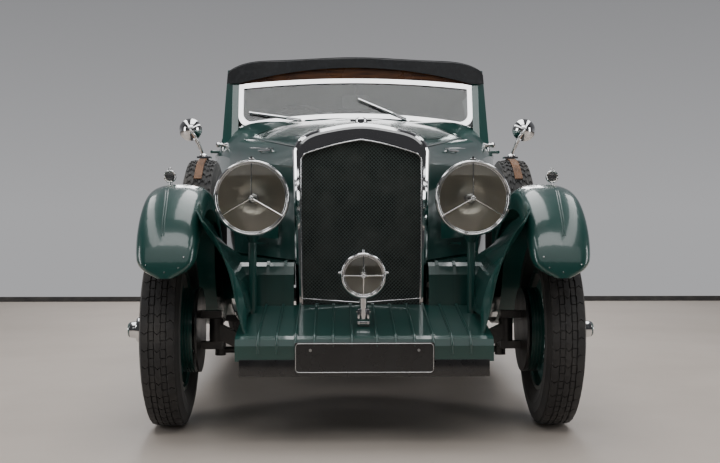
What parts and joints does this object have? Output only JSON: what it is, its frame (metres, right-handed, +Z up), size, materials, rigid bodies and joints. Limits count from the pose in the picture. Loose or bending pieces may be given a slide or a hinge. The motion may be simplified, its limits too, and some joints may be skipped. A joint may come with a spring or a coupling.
{
  "type": "touring car",
  "caption": "Open touring car with its fabric hood up, wire wheels, side-mounted spares, mesh radiator guard, large round headlamps and separate wings.",
  "frame": {"origin": "on the floor, at the middle of the car's length and width", "axes": "+X towards the car's left side, -Y towards its nose, +Z up"},
  "size_m": [1.83, 4.45, 1.6524],
  "materials": {
    "body_paint": "gloss",
    "chrome": "polished",
    "black_paint": "satin",
    "tyre_rubber": "matt",
    "mesh_black": "satin",
    "lamp_glass": "clear",
    "window_glass": "clear",
    "hood_cloth": "woven",
    "leather": "satin",
    "strap_leather": "worn",
    "wood": "varnished",
    "engine_iron": "cast",
    "rubber_mat": "ribbed",
    "grip": "gloss"
  },
  "bodies": {
    "chassis": {"body_tub": "body_paint", "bonnet_hinge": "chrome", "bonnet_sides": "body_paint", "chassis_frame": "black_paint", "dashboard": "wood", "engine_block": "engine_iron", "exhaust": "black_paint", "front_apron": "body_paint", "front_axle": "black_paint", "front_wings": "body_paint", "fuel_tank": "black_paint", "hood": "hood_cloth", "hood_header": "wood", "interior_mirror": "chrome", "lamp_bowls": "chrome", "lamp_lenses": "lamp_glass", "lamp_posts": "body_paint", "leaf_springs": "black_paint", "number_plates": "black_paint", "radiator_cap": "chrome", "radiator_core": "black_paint", "radiator_mesh": "mesh_black", "radiator_shell": "chrome", "rear_axle": "black_paint", "rear_window": "window_glass", "rear_wings": "body_paint", "running_boards": "rubber_mat", "scuttle": "body_paint", "seat_backs": "leather", "seat_cushions": "leather", "seat_stands": "black_paint", "small_lamps": "chrome", "spare_mirrors": "chrome", "spare_straps": "strap_leather", "spare_tyres": "tyre_rubber", "spare_wheels": "chrome", "steering_column": "black_paint", "windscreen_frame": "chrome", "windscreen_glass": "window_glass", "windscreen_pillars": "body_paint", "wipers": "chrome"},
    "knuckle_left": {"knuckle_left": "black_paint"},
    "knuckle_right": {"knuckle_right": "black_paint"},
    "track_rod": {"track_rod": "black_paint"},
    "wheel_front_left": {"wheel_front_left": "chrome", "tyre_front_left": "tyre_rubber"},
    "wheel_front_right": {"wheel_front_right": "chrome", "tyre_front_right": "tyre_rubber"},
    "wheel_rear_left": {"wheel_rear_left": "chrome", "tyre_rear_left": "tyre_rubber"},
    "wheel_rear_right": {"wheel_rear_right": "chrome", "tyre_rear_right": "tyre_rubber"},
    "door_left": {"door_left": "body_paint", "door_glass_left": "window_glass"},
    "door_right": {"door_right": "body_paint", "door_glass_right": "window_glass"},
    "bonnet_top_left": {"bonnet_top_left": "body_paint"},
    "bonnet_top_right": {"bonnet_top_right": "body_paint"},
    "boot_lid": {"boot_lid": "body_paint"},
    "steering_wheel": {"steering_wheel": "grip"}
  },
  "joints": [
    {"name": "steer_left", "type": "hinge", "parent": "chassis", "child": "knuckle_left", "pos_m": [0.57, -1.725, 0.372], "axis": [0, 0, 1], "range_deg": [-30, 30]},
    {"name": "steer_right", "type": "hinge", "parent": "chassis", "child": "knuckle_right", "pos_m": [-0.57, -1.725, 0.372], "axis": [0, 0, 1], "range_deg": [-30, 30]},
    {"name": "track_rod_eye", "type": "hinge", "parent": "knuckle_left", "child": "track_rod", "pos_m": [0.57, -1.575, 0.2747], "axis": [0, 0, 1], "range_deg": [-30, 30]},
    {"name": "steering_wheel_turn", "type": "hinge", "parent": "chassis", "child": "steering_wheel", "pos_m": [-0.3, 0.105, 1.215], "axis": [0, 0.8829, 0.4695], "range_deg": [-360, 360]},
    {"name": "spin_front_left", "type": "hinge", "parent": "knuckle_left", "child": "wheel_front_left", "pos_m": [0.745, -1.725, 0.372], "axis": [1, 0, 0], "continuous": true},
    {"name": "spin_front_right", "type": "hinge", "parent": "knuckle_right", "child": "wheel_front_right", "pos_m": [-0.745, -1.725, 0.372], "axis": [1, 0, 0], "continuous": true},
    {"name": "spin_rear_left", "type": "hinge", "parent": "chassis", "child": "wheel_rear_left", "pos_m": [0.745, 1.475, 0.372], "axis": [1, 0, 0], "continuous": true},
    {"name": "spin_rear_right", "type": "hinge", "parent": "chassis", "child": "wheel_rear_right", "pos_m": [-0.745, 1.475, 0.372], "axis": [1, 0, 0], "continuous": true},
    {"name": "door_left_hinge", "type": "hinge", "parent": "chassis", "child": "door_left", "pos_m": [0.771, 0.712, 0.75725], "axis": [0, 0, 1], "range_deg": [0, 68]},
    {"name": "door_right_hinge", "type": "hinge", "parent": "chassis", "child": "door_right", "pos_m": [-0.771, 0.712, 0.75725], "axis": [0, 0, -1], "range_deg": [0, 68]},
    {"name": "bonnet_left_hinge", "type": "hinge", "parent": "chassis", "child": "bonnet_top_left", "pos_m": [0, -1.594, 1.1865], "axis": [0, -0.9945, -0.1049], "range_deg": [0, 55]},
    {"name": "bonnet_right_hinge", "type": "hinge", "parent": "chassis", "child": "bonnet_top_right", "pos_m": [0, -1.594, 1.1865], "axis": [0, 0.9945, 0.1049], "range_deg": [0, 55]},
    {"name": "boot_lid_hinge", "type": "hinge", "parent": "chassis", "child": "boot_lid", "pos_m": [0, 1.765, 1.136], "axis": [1, 0, 0], "range_deg": [0, 62]}
  ],
  "couplings": [
    {"joint": "steer_right", "follows": "steer_left", "ratio": 1},
    {"joint": "track_rod_eye", "follows": "steer_left", "ratio": -1},
    {"joint": "steering_wheel_turn", "follows": "steer_left", "ratio": 12}
  ]
}
